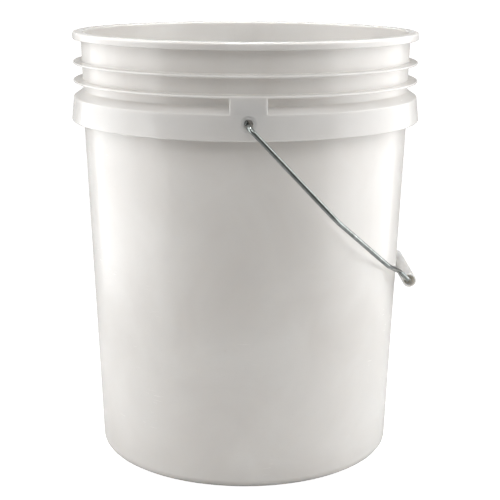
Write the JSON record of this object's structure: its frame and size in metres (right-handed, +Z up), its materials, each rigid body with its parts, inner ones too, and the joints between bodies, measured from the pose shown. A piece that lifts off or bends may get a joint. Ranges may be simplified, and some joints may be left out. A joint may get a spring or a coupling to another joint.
{
  "type": "fermenting bucket",
  "caption": "Tapered plastic fermenting pail with a flanged rim, stiffening ribs and skirt, and a swinging wire bail with a tube grip.",
  "frame": {"origin": "centre of the foot ring, on the surface the pail stands on", "axes": "+Z up along the pail's axis; the bail's hinge line is parallel to Y; the bail hangs on the +X side at rest"},
  "size_m": [0.3061, 0.3448, 0.375],
  "materials": {
    "hdpe_white": "glossy, slightly translucent white polyethylene",
    "zinc_wire": "bright zinc-plated drawn steel wire",
    "grip_plastic": "natural white polyethylene tube, satin"
  },
  "bodies": {
    "pail": {"pail_body": "hdpe_white"},
    "bail": {"bail_wire": "zinc_wire"},
    "grip": {"grip": "grip_plastic"}
  },
  "joints": [
    {"name": "bail_swing", "type": "hinge", "parent": "pail", "child": "bail", "pos_m": [0, 0, 0.311], "axis": [0, -1, 0], "range_deg": [0, 272.4]},
    {"name": "grip_spin", "type": "hinge", "parent": "bail", "child": "grip", "pos_m": [0.14507, 0, 0.15972], "axis": [0, 1, 0], "continuous": true}
  ]
}
